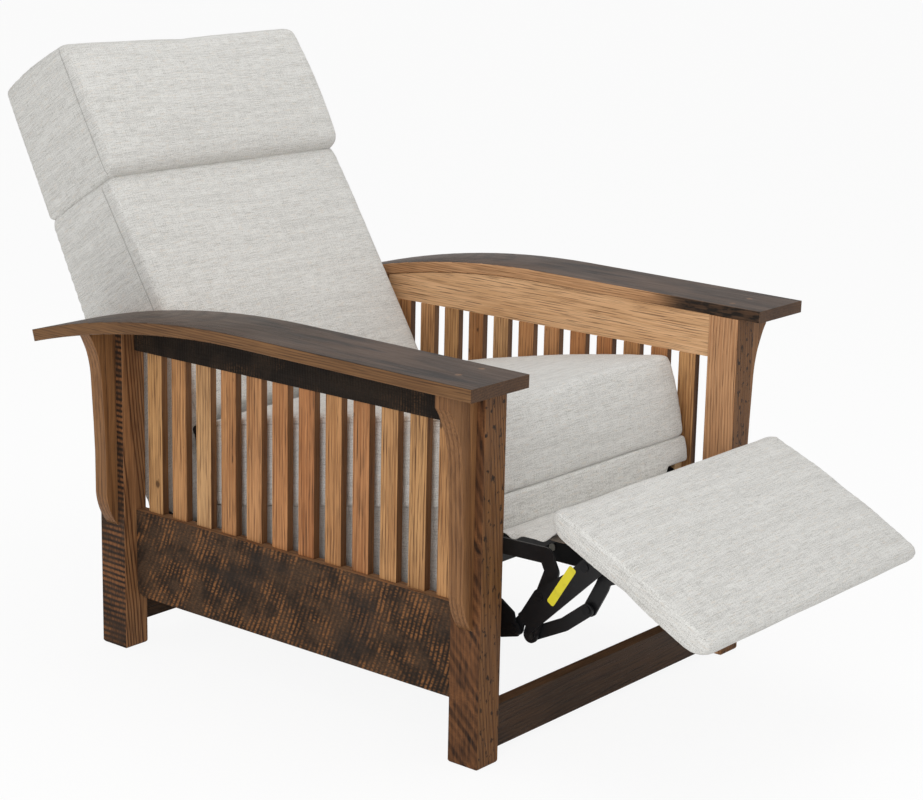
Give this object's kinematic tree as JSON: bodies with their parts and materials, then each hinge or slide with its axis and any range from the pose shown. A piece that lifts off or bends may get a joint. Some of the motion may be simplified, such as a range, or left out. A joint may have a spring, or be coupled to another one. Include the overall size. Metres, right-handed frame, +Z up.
{
  "type": "reclining armchair",
  "caption": "Slatted oak reclining armchair with bent arms, loose-look cushions, a back that tilts with the seat, and a footrest that folds out on paired link arms.",
  "frame": {"origin": "on the floor, midway between the sides and midway along the reclined chair", "axes": "+X to the sitter's left, +Y rearward, +Z up"},
  "size_m": [0.838, 1.4271, 0.9461],
  "materials": {
    "oak": "satin",
    "oak_dark": "satin",
    "hardwood": "matte",
    "black_steel": "satin",
    "zinc_steel": "satin",
    "linen": "woven",
    "webbing": "woven"
  },
  "bodies": {
    "frame": {"post_front_right": "oak", "post_front_left": "oak", "post_rear_right": "oak", "post_rear_left": "oak", "lower_rail_right": "oak_dark", "lower_rail_left": "oak_dark", "upper_rail_right": "oak_dark", "upper_rail_left": "oak_dark", "slats_right": "oak", "slats_left": "oak", "arm_right": "oak_dark", "arm_left": "oak_dark", "corbels_right": "oak_dark", "corbels_left": "oak_dark", "arm_plugs": "oak", "front_stretcher": "oak_dark", "rear_stretcher": "oak_dark", "cleat_right": "hardwood", "cleat_left": "hardwood", "base_plate_right": "black_steel", "base_plate_left": "black_steel", "cleat_screws": "zinc_steel", "seat_pivot_pins": "zinc_steel"},
    "seat": {"seat_side_rail_right": "hardwood", "seat_side_rail_left": "hardwood", "seat_front_rail": "hardwood", "seat_rear_rail": "hardwood", "seat_webbing": "webbing", "seat_cushion": "linen", "seat_front_band": "linen", "hinge_plates": "black_steel", "linkage_plates": "black_steel", "cross_bar": "black_steel", "seat_pins": "zinc_steel", "rail_bolts": "zinc_steel"},
    "back": {"back_upright_right": "hardwood", "back_upright_left": "hardwood", "back_top_rail": "hardwood", "back_middle_rail": "hardwood", "back_bottom_rail": "hardwood", "back_webbing": "webbing", "back_panel": "linen", "back_cushion": "linen", "headrest_pillow": "linen", "back_brackets": "black_steel", "back_pins": "zinc_steel"},
    "curved_link": {"curved_links": "black_steel", "curved_link_pins": "zinc_steel"},
    "wide_link": {"wide_links": "black_steel", "wide_link_pins": "zinc_steel"},
    "rear_link": {"rear_links": "black_steel"},
    "lower_link": {"lower_links": "black_steel"},
    "footrest": {"footrest_brackets": "black_steel", "footrest_pins": "zinc_steel", "footrest_screws": "zinc_steel", "footrest_board": "hardwood", "footrest_pad": "linen", "footrest_flap": "linen"}
  },
  "joints": [
    {"name": "back_recline", "type": "hinge", "parent": "seat", "child": "back", "pos_m": [0, 0.2608, 0.372], "axis": [1, 0, 0], "range_deg": [0, 16]},
    {"name": "seat_tilt", "type": "hinge", "parent": "frame", "child": "seat", "pos_m": [0, 0.1888, 0.165], "axis": [1, 0, 0], "range_deg": [0, 4]},
    {"name": "footrest_fold", "type": "hinge", "parent": "seat", "child": "curved_link", "pos_m": [0, -0.2876, 0.29848], "axis": [1, 0, 0], "range_deg": [0, 72.8], "deforming": ["footrest_flap"]},
    {"name": "wide_link_swing", "type": "hinge", "parent": "curved_link", "child": "wide_link", "pos_m": [0, -0.39329, 0.24076], "axis": [1, 0, 0], "range_deg": [-79.2, 0]},
    {"name": "footrest_swing", "type": "hinge", "parent": "wide_link", "child": "footrest", "pos_m": [0, -0.50313, 0.31991], "axis": [1, 0, 0], "range_deg": [0, 65.9]},
    {"name": "rear_link_swing", "type": "hinge", "parent": "seat", "child": "rear_link", "pos_m": [0, -0.251, 0.23149], "axis": [1, 0, 0], "range_deg": [0, 75.7]},
    {"name": "lower_link_swing", "type": "hinge", "parent": "curved_link", "child": "lower_link", "pos_m": [0, -0.37367, 0.17615], "axis": [1, 0, 0], "range_deg": [-87.7, 0]}
  ],
  "couplings": [
    {"joint": "seat_tilt", "follows": "back_recline", "ratio": 0.25},
    {"joint": "wide_link_swing", "follows": "footrest_fold", "ratio": -1.0864},
    {"joint": "footrest_swing", "follows": "footrest_fold", "ratio": 0.90333},
    {"joint": "rear_link_swing", "follows": "footrest_fold", "ratio": 1.0381},
    {"joint": "lower_link_swing", "follows": "footrest_fold", "ratio": -1.2027}
  ]
}
